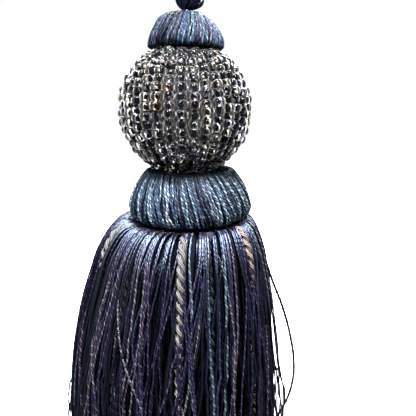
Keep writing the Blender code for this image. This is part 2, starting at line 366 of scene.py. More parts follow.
# The twist of every fine thread is drawn coarser than the real one of about 1 mm, so it shows.
LAY_SLACK = 14.0  # radians by which the lay of a thread's plies runs ahead or behind at most
SLACK_WAVES = 0.45  # how many times it does so in one pitch


def thread_shader(
    name, colours, pitch, roughness, relief,
    plies=2, spread=0.0, shine=1.0, ior=1.55, tones=0.0, throat=0.0,
):
    """Twisted thread: its colour is its 'shade', and a multiple of it scatters its other traits.

    The plies are ridges of this relief, with painted shade in the grooves and painted light on the
    crests, by spread, and every other ply lighter by tones. A throat is the length at the thread's
    root that lies in the dark: there the colour is darkened nearly to black as painted shade.
    """
    material, tree, shader = principled(name)
    shade = add(tree, "ShaderNodeAttribute", attribute_name="shade").outputs["Fac"]
    along = add(tree, "ShaderNodeAttribute", attribute_name="along").outputs["Fac"]
    around = add(tree, "ShaderNodeAttribute", attribute_name="around").outputs["Vector"]
    parts = add(tree, "ShaderNodeSeparateXYZ", {"Vector": around}).outputs
    angle = add(tree, "ARCTAN2", (parts["Y"], parts["X"]))
    run = ("MULTIPLY", along, plies * math.tau / pitch)
    start = add(tree, "MULTIPLY", (shade, 97.0))
    phase = add(tree, "ADD", (("ADD", ("MULTIPLY", angle, plies), run), start))
    walk = ("MULTIPLY", along, SLACK_WAVES / pitch)
    place = add(tree, "ShaderNodeCombineXYZ", {"X": walk, "Y": start})
    slack = add(tree, "ShaderNodeTexNoise", {"Vector": place, "Scale": 1.0, "Detail": 1.0})
    phase = add(tree, "ADD", (phase, ("MULTIPLY", slack, LAY_SLACK)))
    ridge = add(tree, "ShaderNodeMapRange", {"Value": ("COSINE", phase), "From Min": -1.0, "From Max": 1.0})
    colour = coloured(tree, shade, colours, "CONSTANT")
    # Painted shade in the grooves between the plies, and painted light along their crests.
    painted_shade_and_ply_tone = add(
        tree, "ShaderNodeMapRange", {"Value": ridge, "To Min": 1.0 - spread, "To Max": 1.0 + spread / 2}
    )
    ply = add(tree, "COSINE", (("MULTIPLY", phase, 1.0 / plies),))
    ply = add(
        tree, "ShaderNodeMapRange",
        {"Value": ply, "From Min": -1.0, "To Min": 1.0 - tones, "To Max": 1.0 + tones},
    )
    painted_shade_and_ply_tone = add(tree, "MULTIPLY", (painted_shade_and_ply_tone, ply))
    # Painted shade: near its root, in the dark throat, the thread's colour is darkened nearly to black.
    if throat:
        uneven = add(tree, "FRACT", (("MULTIPLY", shade, 13.7),))
        start = add(tree, "MULTIPLY_ADD", (uneven, 0.45 * throat, 0.8 * throat))
        full = ("ADD", start, 0.4 * throat)
        painted_throat_shade = add(
            tree, "ShaderNodeMapRange",
            {"Value": along, "From Min": start, "From Max": full, "To Min": 0.02},
        )
        painted_shade_and_ply_tone = add(tree, "MULTIPLY", (painted_shade_and_ply_tone, painted_throat_shade))
    shaded = add(
        tree, "ShaderNodeMix", {"Factor": 1.0, "A": colour, "B": painted_shade_and_ply_tone}, data_type="RGBA",
        blend_type="MULTIPLY",
    )
    result = next(s for s in shaded.outputs if s.enabled)
    tree.links.new(result, shader["Base Color"])
    bump = add(tree, "ShaderNodeBump", {"Height": ridge, "Distance": relief, "Strength": 1.0})
    tree.links.new(bump.outputs["Normal"], shader["Normal"])
    uneven = add(tree, "FRACT", (("MULTIPLY", shade, 7.3),))
    gloss = add(
        tree, "ShaderNodeMapRange",
        {"Value": uneven, "To Min": roughness - 0.07, "To Max": roughness + 0.13},
    )
    tree.links.new(gloss.outputs[0], shader["Roughness"])
    shader["IOR"].default_value = ior
    shader["Specular IOR Level"].default_value = shine
    shader["Specular Tint"].default_value = (*linear("#bccef4"), 1)
    return material


# Rayon twisted hard: nearly black, with a narrow blue-white line where it turns to the light.
navy_cord = thread_shader(
    "navy rayon cord", [(0.0, "#070a1a"), (1.0, "#0e142e")], pitch=1.6 * MM, roughness=0.26,
    relief=0.05 * MM, spread=0.5, ior=1.6,
)
plied_cord = plied_cord_tree()

loop_guide = guide("loop_guide", [at(x, 0, height) for x, height in LOOP_ROUTE])
loop_line, loop_length = line_of(loop_guide, 60)
hanging_loop = made_by(
    plied_cord, "hanging_loop_cord",
    {
        "Path": loop_guide, "Diameter": CORD_DIAMETER, "Ply Share": 0.54, "Pitch": CORD_PITCH,
        "Material": navy_cord,
    },
)
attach(hanging_loop, "root")
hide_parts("hanging_loop")


# ---- Knot ---------------------------------------------------------------------------------
# The same navy cord is turned round its own two legs and pulled tight. Below the knot its folds
# draw in, and the legs go down side by side into the ruff's hole.

KNOT_AXIS_X = 0.95
NECK_ROUTE = [(0.4, 21.7), (0.4, 22.6), (0.7, 24.5), (0.95, 27.5), (0.95, 30.3)]
KNOT_CORD = 2.3 * MM
KNOT_TURNS = 2.2
KNOT_FOOT = 25.6
KNOT_HEAD = 29.4
KNOT_REACH = 2.5
KNOT_LEAN = 0.25
KNOT_START = 2.6  # radians round the axis
KNOT_TUCK = 0.6  # how far the last of the wrap draws in, in mm
KNOT_TUCK_SHARE = 0.15
KNOT_STEPS = 40
KNOT_FOLDS = [  # radius, shift in x, height above the ball's centre, in mm
    (1.0, 0.5, 21.6), (0.75, 0.5, 22.3), (1.2, 0.65, 22.75), (2.2, 0.95, 23.4), (2.8, 1.1, 24.1),
    (3.0, 1.1, 25.0), (2.8, 0.95, 26.2),
]


def knot_route():
    """The wrapped part of the cord, a leaning coil in mm round the knot's axis."""
    points = []
    for step in range(KNOT_STEPS + 1):
        share = step / KNOT_STEPS
        angle = math.tau * KNOT_TURNS * share + KNOT_START
        reach = KNOT_REACH - KNOT_TUCK * max(0.0, share - 1 + KNOT_TUCK_SHARE) / KNOT_TUCK_SHARE
        height = KNOT_FOOT + (KNOT_HEAD - KNOT_FOOT) * share + KNOT_LEAN * math.sin(angle)
        points.append(at(KNOT_AXIS_X + reach * math.cos(angle), reach * math.sin(angle), height))
    return points


knot_guide = guide("knot_guide", knot_route())
knot = made_by(
    plied_cord, "knot_cord",
    {
        "Path": knot_guide, "Diameter": KNOT_CORD, "Ply Share": 0.56, "Pitch": CORD_PITCH,
        "Material": navy_cord,
    },
)
neck_guide = guide("neck_guide", [at(x, 0, height) for x, height in NECK_ROUTE])
neck = made_by(
    plied_cord, "knot_neck",
    {
        "Path": neck_guide, "Plies": 2, "Diameter": 2.7 * MM, "Ply Share": 0.54, "Pitch": 9 * MM,
        "Steps Per Turn": 16, "Sides": 10, "Material": navy_cord,
    },
)


def profile_guide(name, rows, inward=0.0):
    """A turned form's side view, as a guide whose y holds the form's shift to one side."""
    points = []
    for radius, shift, height in rows:
        points.append(Vector((radius - inward, shift, height)) * MM)
    return guide(name, points)


def threads_tree():
    """Threads that run down a turned form, each at its own angle and its own depth in the pile."""
    tree, given = group(
        "threads down a turned form",
        {
            "Outer Profile": "NodeSocketObject", "Inner Profile": "NodeSocketObject",
            "Centre": tuple(BALL_CENTRE), "Threads": 100, "Points Along": 16, "Sides": 5, "Width": 0.0005,
            "Widest Radius": 0.01, "Crowding": 1.0, "Scatter": 0.5, "Depth Bias": 1.0, "Wander": 0.0,
            "Wander Waves": 2.0, "Kink": 0.0, "Kink Waves": 12.0, "Drift": 0.0, "Slant": 0.0,
            "Clumping": 0.0, "Clumps": 8.0, "Lift": 0.0, "Raggedness": 0.0, "Seed": 1,
            "Material": "NodeSocketMaterial",
        },
    )

    blank = add(tree, "GeometryNodeCurvePrimitiveLine", {"End": (0.0, 0.0, 1.0)})
    even = add(tree, "GeometryNodeResampleCurve", {"Curve": blank, "Count": given["Points Along"]})
    copies = add(
        tree, "GeometryNodeDuplicateElements", {"Geometry": even, "Amount": given["Threads"]},
        domain="SPLINE",
    )
    thread = add(tree, "GeometryNodeCurveOfPoint").outputs["Curve Index"]
    share = add(tree, "GeometryNodeSplineParameter").outputs["Factor"]

    def chance(low, high, salt):
        return add(
            tree, "FunctionNodeRandomValue",
            {"Min": low, "Max": high, "ID": thread, "Seed": ("ADD", given["Seed"], salt)},
        )

    def noise(across, down, salt):
        place = add(tree, "ShaderNodeCombineXYZ", {"X": across, "Y": down, "Z": float(salt)})
        drawn = add(tree, "ShaderNodeTexNoise", {"Vector": place, "Scale": 1.0, "Detail": 1.0})
        return add(tree, "MULTIPLY", (("SUBTRACT", drawn, 0.5), 2.0))

    step = ("DIVIDE", math.tau, given["Threads"])
    slip = ("MULTIPLY", chance(-1.0, 1.0, 10), given["Scatter"])
    angle = add(tree, "MULTIPLY", (("ADD", thread, slip), step))
    depth = add(tree, "POWER", (chance(0.0, 1.0, 20), given["Depth Bias"]))
    trimmed = add(tree, "SUBTRACT", (1.0, ("MULTIPLY", chance(0.0, 1.0, 30), given["Raggedness"])))
    stop = add(tree, "MULTIPLY", (share, trimmed))

    places = []
    for label in ("Outer Profile", "Inner Profile"):
        curve = add(tree, "GeometryNodeObjectInfo", {"Object": given[label]}).outputs["Geometry"]
        sampled = add(tree, "GeometryNodeSampleCurve", {"Curves": curve, "Factor": stop})
        places.append(sampled.outputs["Position"])
    between = add(
        tree, "ShaderNodeMix", {"Factor": depth, "A": places[0], "B": places[1]}, data_type="VECTOR"
    )
    radius, shift, height = add(tree, "ShaderNodeSeparateXYZ", {"Vector": between}).outputs

    ramp = add(tree, "ShaderNodeMapRange", {"Value": share, "From Min": 0.1, "From Max": 1.0})
    waves = add(tree, "MULTIPLY", (stop, given["Wander Waves"]))
    round_x = ("MULTIPLY", ("SINE", angle), given["Clumps"])
    round_y = ("MULTIPLY", ("COSINE", angle), given["Clumps"])
    field = add(tree, "ShaderNodeCombineXYZ", {"X": round_x, "Y": round_y, "Z": waves})
    pull = add(tree, "ShaderNodeTexNoise", {"Vector": field, "Scale": 1.0, "Detail": 0.0})
    sideways = 0.0
    for amount, part in {
        "Wander": noise(("MULTIPLY", thread, 3.7), waves, 1),
        "Kink": noise(("MULTIPLY", thread, 9.1), ("MULTIPLY", stop, given["Kink Waves"]), 4),
        "Drift": ("MULTIPLY", chance(-1.0, 1.0, 60), chance(0.0, 1.0, 61)),
        "Clumping": ("SUBTRACT", pull, 0.5),
    }.items():
        sideways = add(tree, "ADD", (sideways, ("MULTIPLY", ("MULTIPLY", part, given[amount]), ramp)))
    turned = add(tree, "ADD", (angle, ("DIVIDE", sideways, radius)))
    turned = add(tree, "ADD", (turned, ("MULTIPLY", stop, given["Slant"])))
    lift = add(tree, "MULTIPLY", (noise(("MULTIPLY", thread, 5.1), waves, 7), given["Lift"]))
    reach = add(tree, "ADD", (radius, ("MULTIPLY", lift, ramp)))

    x = ("ADD", ("MULTIPLY", reach, ("SINE", turned)), shift)
    y = ("MULTIPLY", ("MULTIPLY", reach, ("COSINE", turned)), -1.0)
    here = add(tree, "ShaderNodeCombineXYZ", {"X": x, "Y": y, "Z": height})
    here = add(tree, "ShaderNodeVectorMath", (here, given["Centre"]), operation="ADD")
    placed = add(tree, "GeometryNodeSetPosition", {"Geometry": copies, "Position": here})
    shaded = add(
        tree, "GeometryNodeStoreNamedAttribute",
        {"Geometry": placed, "Name": "shade", "Value": chance(0.0, 1.0, 40)},
    )
    narrowed = add(tree, "DIVIDE", (radius, given["Widest Radius"]))
    narrowed = add(tree, "ShaderNodeMix", {"Factor": given["Crowding"], "A": 1.0, "B": narrowed})
    half_width = add(tree, "MULTIPLY", (("MULTIPLY", given["Width"], 0.5), narrowed))
    half_width = add(tree, "MULTIPLY", (half_width, chance(0.85, 1.15, 50)))
    walked = add(tree, "GeometryNodeSplineParameter").outputs["Length"]
    geometry = tube(tree, shaded, half_width, given["Sides"], walked)
    finish_group(tree, geometry, given["Material"])
    return tree


threads = threads_tree()
folds = made_by(
    threads, "knot_folds",
    {
        "Outer Profile": profile_guide("folds_outer", KNOT_FOLDS),
        "Inner Profile": profile_guide("folds_inner", KNOT_FOLDS, 0.5), "Threads": 17, "Points Along": 24,
        "Sides": 8, "Width": 1.5 * MM, "Widest Radius": 3.5 * MM, "Scatter": 0.4, "Slant": 0.9, "Seed": 2,
        "Material": navy_cord,
    },
)
for piece in (knot, neck, folds):
    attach(piece, "root")
    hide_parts("knot")


# ---- Upper ruff ---------------------------------------------------------------------------
# A small wooden bell wrapped in satin yarn: each thread comes up out of the hole, runs over the
# dome and is tucked under the rim. The threads lie side by side and slip a little across.

UPPER_RUFF_PROFILE = [  # radius, shift in x, height above the ball's centre, in mm
    (2.2, 1.2, 21.2), (2.8, 0.8, 21.6), (4.3, 0.0, 21.6), (6.0, -0.2, 20.6), (7.3, 0.0, 18.8),
    (8.4, 0.1, 16.9), (8.9, 0.1, 15.3), (8.9, 0.1, 14.6), (8.3, 0.1, 14.1),
]
THREAD_WIDTH = 0.34 * MM
THREAD_PITCH = 2.3 * MM
RUFF_COLOURS = [
    (0.0, "#04050a"), (0.22, "#121622"), (0.4, "#282e40"), (0.55, "#263a50"), (0.68, "#4c5664"),
    (0.8, "#403f54"), (0.88, "#53646f"),
]
# Fine satin thread: slate blues side by side, each with a soft sheen where the dome faces up.
ruff_thread = thread_shader(
    "slate satin thread", RUFF_COLOURS, pitch=THREAD_PITCH, roughness=0.38, relief=0.07 * MM, spread=0.95,
    shine=0.22, tones=0.45,
)
upper_ruff = made_by(
    threads, "upper_ruff_threads",
    {
        "Outer Profile": profile_guide("upper_outer", UPPER_RUFF_PROFILE),
        "Inner Profile": profile_guide("upper_inner", UPPER_RUFF_PROFILE, 0.45),
        "Threads": 320, "Sides": 6, "Width": THREAD_WIDTH, "Widest Radius": 9 * MM, "Crowding": 0.6,
        "Scatter": 1.5, "Wander": 1.2 * MM, "Clumping": 0.8 * MM, "Clumps": 5.0, "Lift": 0.4 * MM,
        "Slant": -0.4, "Seed": 3, "Material": ruff_thread,
    },
)


def turned_form(name, rows, columns, material=None, centre=BALL_CENTRE, closed=False):
    """A turned mesh on rows of radius, shift and height in mm; a closed one is a ring, as a bead."""
    bm = bmesh.new()
    rings = []
    for radius, shift, height in rows:
        ring = []
        for column in range(columns):
            angle = math.tau * column / columns
            place = Vector((shift + radius * math.cos(angle), radius * math.sin(angle), height))
            ring.append(bm.verts.new(centre + place * MM))
        rings.append(ring)
    for upper, lower in zip(rings, rings[1:] + rings[:closed]):
        for here in range(columns):
            after = (here + 1) % columns
            bm.faces.new((lower[here], lower[after], upper[after], upper[here]))
    if not closed:
        bm.faces.new(rings[0])
        bm.faces.new(rings[-1][::-1])
    bmesh.ops.recalc_face_normals(bm, faces=bm.faces)
    mesh = bpy.data.meshes.new(name)
    bm.to_mesh(mesh)
    bm.free()
    mesh.shade_smooth()
    if material:
        mesh.materials.append(material)
    return link(bpy.data.objects.new(name, mesh))


def dyed_beech(name, dark, light, grains, roughness, shine):
    """Turned beech under a dark dye, which takes more or less in its grain."""
    material, tree, shader = principled(name)
    place = add(tree, "ShaderNodeTexCoord").outputs["Object"]
    grain = add(tree, "ShaderNodeTexNoise", {"Vector": place, "Scale": grains})
    dye = add(
        tree, "ShaderNodeMix", {"Factor": grain, "A": (*linear(dark), 1), "B": (*linear(light), 1)},
        data_type="RGBA",
    )
    tree.links.new(next(o for o in dye.outputs if o.enabled), shader["Base Color"])
    shader["Roughness"].default_value = roughness
    shader["Specular IOR Level"].default_value = shine
    return material


# Unpolished and nearly black: a dark dye, made darker still as painted shade, so the gaps between the
# threads look deep.
mould_dye_and_shade = dyed_beech("dyed beech mould with painted shade", "#030408", "#0b0d1a", 700.0, 0.8, 0.08)
MOULD_INSET = 0.55  # how far a mould lies inside the threads' outer line, in mm, and below it
MOULD_DROP = 0.3
MOULD_SIDES = 48
upper_mould = turned_form(
    "upper_ruff_mould", [(r - MOULD_INSET, s, h - MOULD_DROP) for r, s, h in UPPER_RUFF_PROFILE],
    MOULD_SIDES, mould_dye_and_shade,
)
for piece in (upper_ruff, upper_mould):
    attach(piece, "root")
    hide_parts("upper_ruff")


# ---- Beaded ball --------------------------------------------------------------------------
# A dark wooden ball under 34 upright strings of seed beads. The beads are clear and smoky glass,
# 2.6 mm across, strung on navy thread; every other string is shorter, where the ball narrows.

BALL_RADIUS = (ball_high.z - ball_low.z) / 2 / MM + 0.3
BALL_SHIFT = -0.3  # the ball sits a little to the left of the tassel's line, in mm
BEAD_WIDTH = 2.62
BEAD_LENGTH = 1.82
BEAD_HOLE = 0.9
BEAD_THREAD = 0.9 * MM
BEAD_STRINGS = 34
BEADS_ON_STRING = 18
STRING_RADIUS = BALL_RADIUS - BEAD_WIDTH / 2
CORE_RADIUS = BALL_RADIUS - BEAD_WIDTH + 0.1
CORE_ROWS = 24
STRING_REACH = math.radians(61)
SHORT_STRING_REACH = math.radians(47)
END_RING_BEADS = 22
END_RING_LATITUDE = math.radians(54)
END_RING_RADIUS = 14.8 * MM
BEAD_SIDES = 9
BEAD_OUTLINE = [  # shares of the bead's half width and half length, from hole to hole
    (BEAD_HOLE / BEAD_WIDTH, 0.6), (0.60, 0.98), (0.88, 0.66), (1.0, 0.0), (0.88, -0.66),
    (0.60, -0.98), (BEAD_HOLE / BEAD_WIDTH, -0.6),
]


def beads_tree():
    """Beads on upright strings round a ball, each turned along its string."""
    tree, given = group(
        "beads on a ball",
        {
            "Bead": "NodeSocketObject", "Centre": (0.0, 0.0, 0.0), "Radius": 0.0145, "Strings": 32,
            "Beads": 19, "Reach": 1.0, "Short Reach": 0.8, "Unevenness": 0.0003, "Seed": 1,
            "Material": "NodeSocketMaterial",
        },
    )

    number = add(tree, "GeometryNodeInputIndex")

    def chance(low, high, salt, key=number):
        return add(
            tree, "FunctionNodeRandomValue",
            {"Min": low, "Max": high, "ID": key, "Seed": ("ADD", given["Seed"], salt)},
        )

    total = ("MULTIPLY", given["Strings"], given["Beads"])
    points = add(tree, "GeometryNodePoints", {"Count": total})
    string = add(tree, "FLOOR", (("DIVIDE", ("ADD", number, 0.5), given["Beads"]),))
    bead = add(tree, "SUBTRACT", (number, ("MULTIPLY", string, given["Beads"])))
    bead = add(tree, "ADD", (("ADD", bead, chance(-0.5, 0.5, 11, string)), chance(-0.14, 0.14, 19)))
    middle = add(tree, "DIVIDE", (("SUBTRACT", given["Beads"], 1.0), 2.0))
    packed = add(tree, "MULTIPLY", (("SUBTRACT", bead, middle), chance(0.93, 1.05, 20, string)))
    bead = add(tree, "ADD", (packed, middle))
    share = add(tree, "DIVIDE", (bead, ("SUBTRACT", given["Beads"], 1.0)))
    latitude = add(tree, "MULTIPLY", (("SUBTRACT", 1.0, ("MULTIPLY", share, 2.0)), given["Reach"]))
    short = ("MODULO", string, 2.0)
    limit = add(tree, "ShaderNodeMix", {"Factor": short, "A": 2.0, "B": given["Short Reach"]})
    kept = add(tree, "LESS_THAN", (("ABSOLUTE", latitude), limit))
    slip = add(tree, "DIVIDE", (chance(-1.0, 1.0, 12), given["Radius"]))
    slip = add(tree, "MULTIPLY", (slip, ("MULTIPLY", given["Unevenness"], 0.5)))
    longitude = add(tree, "ADD", (("MULTIPLY", string, ("DIVIDE", math.tau, given["Strings"])), slip))
    reach = add(tree, "ADD", (given["Radius"], ("MULTIPLY", chance(-1.0, 0.6, 13), given["Unevenness"])))

    flat = add(tree, "COSINE", (latitude,))
    rise = add(tree, "SINE", (latitude,))

    def aimed(level, height):
        x = ("MULTIPLY", level, ("SINE", longitude))
        y = ("MULTIPLY", ("MULTIPLY", level, ("COSINE", longitude)), -1.0)
        return add(tree, "ShaderNodeCombineXYZ", {"X": x, "Y": y, "Z": height})

    out = aimed(flat, rise)
    down = aimed(rise, ("MULTIPLY", flat, -1.0))
    here = add(tree, "ShaderNodeVectorMath", {0: out, "Scale": reach}, operation="SCALE")
    here = add(tree, "ShaderNodeVectorMath", (here, given["Centre"]), operation="ADD")
    placed = add(tree, "GeometryNodeSetPosition", {"Geometry": points, "Position": here})
    along = add(tree, "FunctionNodeAlignRotationToVector", {"Vector": down}, axis="Z")
    turned = add(
        tree, "FunctionNodeAlignRotationToVector", {"Rotation": along, "Vector": out}, axis="X",
        pivot_axis="Z",
    )
    tilt = add(
        tree, "ShaderNodeCombineXYZ",
        {"X": chance(-0.2, 0.2, 14), "Y": chance(-0.2, 0.2, 15), "Z": chance(-0.35, 0.35, 16)},
    )
    tilted = add(
        tree, "FunctionNodeRotateRotation",
        {"Rotation": turned, "Rotate By": add(tree, "FunctionNodeEulerToRotation", {"Euler": tilt})},
        rotation_space="LOCAL",
    )
    size = chance(0.9, 1.12, 17)
    bead_shape = add(tree, "GeometryNodeObjectInfo", {"Object": given["Bead"]}).outputs["Geometry"]
    strung = add(
        tree, "GeometryNodeInstanceOnPoints",
        {"Points": placed, "Selection": kept, "Instance": bead_shape, "Rotation": tilted, "Scale": size},
    )
    shaded = add(
        tree, "GeometryNodeStoreNamedAttribute",
        {"Geometry": strung, "Name": "shade", "Value": chance(0.0, 1.0, 18)}, domain="INSTANCE",
    )
    finish_group(tree, shaded, given["Material"])
    return tree


GLASS_TINTS = [
    (0.0, "#dcddd4"), (0.25, "#d0d2c8"), (0.45, "#c6c7d4"), (0.6, "#9a9ca4"), (0.72, "#c2b2a2"),
    (0.82, "#dddedb"), (0.92, "#84829a"), (1.0, "#a48c7a"),
]


def bead_glass():
    """Drawn glass: each bead shows its thread as a dark window inside a light, dusty rim."""
    material, tree, shader = principled("clear and smoky seed-bead glass")
    shade = add(tree, "ShaderNodeAttribute", attribute_name="shade").outputs["Fac"]
    tree.links.new(coloured(tree, shade, GLASS_TINTS), shader["Base Color"])
    other = add(tree, "FRACT", (("MULTIPLY", shade, 5.3),))
    etched = add(tree, "ShaderNodeMapRange", {"Value": other, "From Min": 0.5, "To Max": 0.16})
    tree.links.new(etched.outputs[0], shader["Roughness"])
    shader["Transmission Weight"].default_value = 1.0
    shader["Specular Tint"].default_value = (0.14, 0.14, 0.14, 1)
    shader["Sheen Weight"].default_value = 0.8
    shader["Sheen Roughness"].default_value = 0.3
    shader["IOR"].default_value = 1.52
    return material


# Waxed beading thread: dull and nearly black, seen only through the glass.
thread_black = thread_shader(
    "navy beading thread", [(0.0, "#020307"), (1.0, "#090a16")], pitch=2 * MM, roughness=0.7,
    relief=0.02 * MM, shine=0.1,
)
# Thinly lacquered, so the wood shows a mottled dark grey between the strings.
ball_lacquer = dyed_beech("navy lacquered beech", "#0b0c14", "#3e3e3c", 500.0, 0.5, 0.5)
bead_rows = [(r * BEAD_WIDTH / 2, 0, h * BEAD_LENGTH / 2) for r, h in BEAD_OUTLINE]
bead_pattern = turned_form("bead_pattern", bead_rows, BEAD_SIDES, centre=Vector(), closed=True)
bead_tree = beads_tree()
glass = bead_glass()
strings_centre = at(BALL_SHIFT, 0, 0)
bead_pieces = []
for name, strings, count, reach, radius in (
    ("ball_beads", BEAD_STRINGS, BEADS_ON_STRING, STRING_REACH, STRING_RADIUS * MM),
    ("top_ring_beads", END_RING_BEADS, 1, END_RING_LATITUDE, END_RING_RADIUS),
    ("bottom_ring_beads", END_RING_BEADS, 1, -END_RING_LATITUDE, END_RING_RADIUS),
):
    bead_pieces.append(
        made_by(
            bead_tree, name,
            {
                "Bead": bead_pattern, "Centre": strings_centre, "Radius": radius, "Strings": strings,
                "Beads": count, "Reach": reach, "Short Reach": SHORT_STRING_REACH if count > 1 else math.pi,
                "Unevenness": 0.35 * MM, "Seed": 5, "Material": glass,
            },
        ),
    )
bpy.data.objects.remove(bead_pattern)
thread_arc = []
for step in range(13):
    latitude = STRING_REACH * (1 - step / 6)
    thread_arc.append((STRING_RADIUS * math.cos(latitude), 0.0, STRING_RADIUS * math.sin(latitude)))
bead_threads = made_by(
    threads, "bead_threads",
    {
        "Outer Profile": profile_guide("bead_thread_line", thread_arc),
        "Inner Profile": profile_guide("bead_thread_line", thread_arc), "Centre": strings_centre,
        "Threads": BEAD_STRINGS, "Points Along": 20, "Sides": 6, "Width": BEAD_THREAD, "Crowding": 0.0,
        "Scatter": 0.0, "Material": thread_black,
    },
)
core_rows = []
for row in range(1, CORE_ROWS):
    angle = math.pi * row / CORE_ROWS
    core_rows.append((CORE_RADIUS * math.sin(angle), BALL_SHIFT, CORE_RADIUS * math.cos(angle)))
ball_core = turned_form("ball_core", core_rows, MOULD_SIDES, ball_lacquer)
for piece in (*bead_pieces, bead_threads, ball_core):
    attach(piece, "root")
    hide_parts("beaded_ball")


# ---- Lower ruff ---------------------------------------------------------------------------
# A wider wooden bell that the ball sits in, wrapped like the upper one in yarn that runs from its
# throat over the dome and under its rolled rim.

LOWER_RUFF_PROFILE = [  # radius, shift in x, height above the ball's centre, in mm
    (8.6, 0.4, -15.8), (9.5, 0.7, -14.4), (10.6, 0.7, -14.3), (11.9, 0.7, -15.6),
    (13.3, 0.7, -17.5), (14.5, 0.7, -19.8), (15.3, 0.7, -22.2), (15.5, 0.7, -24.0),
    (15.0, 0.7, -25.4), (13.8, 0.7, -26.1), (12.5, 0.7, -26.1),
]
RIM_HEIGHT = -25  # below it the mould lies above the threads, which turn in under the rim
RIM_LIFT = 0.4
# Thicker satin yarn: its twist shows as short light dashes, slate to teal, over grooves with painted shade;
# its root in the throat under the ball is painted dark as shade.
wide_thread = thread_shader(
    "slate satin yarn",
    [
        (0.0, "#06080f"), (0.16, "#181e2b"), (0.32, "#303949"), (0.48, "#2a394e"), (0.58, "#505a68"),
        (0.69, "#3e3c4e"), (0.77, "#5d6f7a"), (0.91, "#728389"),
    ],
    pitch=1.9 * MM, roughness=0.36, relief=0.05 * MM, spread=0.95, shine=0.2, tones=0.5, throat=4.2 * MM,
)
lower_ruff = made_by(
    threads, "lower_ruff_threads",
    {
        "Outer Profile": profile_guide("lower_outer", LOWER_RUFF_PROFILE),
        "Inner Profile": profile_guide("lower_inner", LOWER_RUFF_PROFILE, 0.65),
        "Threads": 250, "Points Along": 24,
        "Sides": 6, "Width": 0.45 * MM, "Widest Radius": 15.5 * MM, "Crowding": 0.6, "Scatter": 0.7,
        "Wander": 2 * MM, "Wander Waves": 3.0, "Clumping": 1 * MM, "Clumps": 6.0, "Lift": 0.6 * MM,
        "Slant": 0.3, "Seed": 8, "Material": wide_thread,
    },
)
lower_mould = turned_form(
    "lower_ruff_mould",
    [
        (r - MOULD_INSET, s, h - (MOULD_DROP if h > RIM_HEIGHT else -RIM_LIFT))
        for r, s, h in LOWER_RUFF_PROFILE
    ],
    64, mould_dye_and_shade,
)
for piece in (lower_ruff, lower_mould):
    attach(piece, "root")
    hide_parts("lower_ruff")


# ---- Skirt --------------------------------------------------------------------------------
# Some 1370 lengths of two-ply satin yarn hang from a bound head under the lower ruff. They come
# out over its edge, bend down, and hang nearly straight, in loose bundles with dark gaps. A few
# cross over the others, and a few stand off the sides.

SKIRT_OUTER = [  # radius, shift in x, height above the ball's centre, in mm
    (12.5, 0.4, -27.6), (16.4, -0.4, -26.9), (19.6, -1.2, -30.3), (23.0, -2.2, -40.5),
    (26.4, -3.7, -57.5), (28.2, -4.5, -79.5), (28.4, -4.4, -121.0),
]
SKIRT_INNER = [
    (10.0, 0.4, -31.0), (12.0, -0.2, -33.0), (14.0, -0.8, -40.0), (16.0, -2.0, -52.0), (15.0, -3.0, -68.0),
    (12.0, -3.4, -90.0), (8.0, -3.4, -119.0),
]
SKIRT_CORE = [(3.0, 0.4, -31.5), (4.0, -2.0, -52.0), (2.0, -3.4, -117.0)]
SKIRT_COLOURS = [
    (0.0, "#010103"), (0.25, "#05040e"), (0.44, "#0c081b"), (0.57, "#1a1322"), (0.67, "#282238"),
    (0.77, "#362e3c"), (0.86, "#1a1b34"), (0.92, "#3e4e56"), (0.96, "#464449"),
]
# Two-ply rayon: navy to violet-black, with a bright sheen over the bend and teal threads in it.
skirt_yarn = thread_shader(
    "navy satin yarn", SKIRT_COLOURS, pitch=2.2 * MM, roughness=0.3, relief=0.035 * MM, spread=0.95,
    ior=1.6, tones=0.5,
)
# Painted shade: the same yarn as a darker, duller copy, flat and almost black, for the yarns deep in the
# pile where no light gets in.
painted_shade_yarn = thread_shader(
    "navy yarn with painted shade, deep in the pile", [(0.0, "#010203"), (0.5, "#04040c"), (0.8, "#08080e")], pitch=2 * MM,
    roughness=0.6, relief=0.04 * MM, spread=0.8, shine=0.15,
)
skirt_outer = profile_guide("skirt_outer", SKIRT_OUTER)
skirt_inner = profile_guide("skirt_inner", SKIRT_INNER)
skirt_pieces = []
# The middle and inner layers, and the core below, take the yarn's painted-shade copy.
for name, count, points, bias, seed, yarn in (
    ("skirt_yarn_outer", 350, 56, 3.4, 11, skirt_yarn),
    ("skirt_yarn_middle", 260, 40, 1.3, 14, painted_shade_yarn),
    ("skirt_yarn_inner", 520, 24, 0.8, 12, painted_shade_yarn),
):
    skirt_pieces.append(
        made_by(
            threads, name,
            {
                "Outer Profile": skirt_outer, "Inner Profile": skirt_inner, "Threads": count,
                "Points Along": points, "Width": 0.56 * MM, "Widest Radius": 28 * MM, "Crowding": 0.4,
                "Scatter": 1.2, "Depth Bias": bias, "Wander": 9 * MM, "Wander Waves": 2.6, "Kink": 2.6 * MM,
                "Kink Waves": 34.0, "Drift": 26 * MM, "Clumping": 9 * MM, "Clumps": 6.0, "Lift": 2.8 * MM,
                "Raggedness": 0.05, "Seed": seed, "Material": yarn,
            },
        ),
    )
skirt_pieces.append(
    made_by(
        threads, "skirt_yarn_core",
        {
            "Outer Profile": skirt_inner, "Inner Profile": profile_guide("skirt_core", SKIRT_CORE),
            "Threads": 150, "Points Along": 20, "Sides": 4, "Width": 1.3 * MM, "Crowding": 0.0,
            "Scatter": 3.0, "Wander": 4 * MM, "Wander Waves": 2.6, "Raggedness": 0.03, "Seed": 13,
            "Material": painted_shade_yarn,
        },
    ),
)
LOOSE_OUTER = [
    (12.8, 0.4, -27.6), (16.6, -0.4, -26.8), (20.2, -1.2, -30.3), (23.8, -2.2, -40.5), (27.6, -3.0, -57.5),
    (31.6, -3.4, -79.5), (32.0, -3.4, -119.0),
]
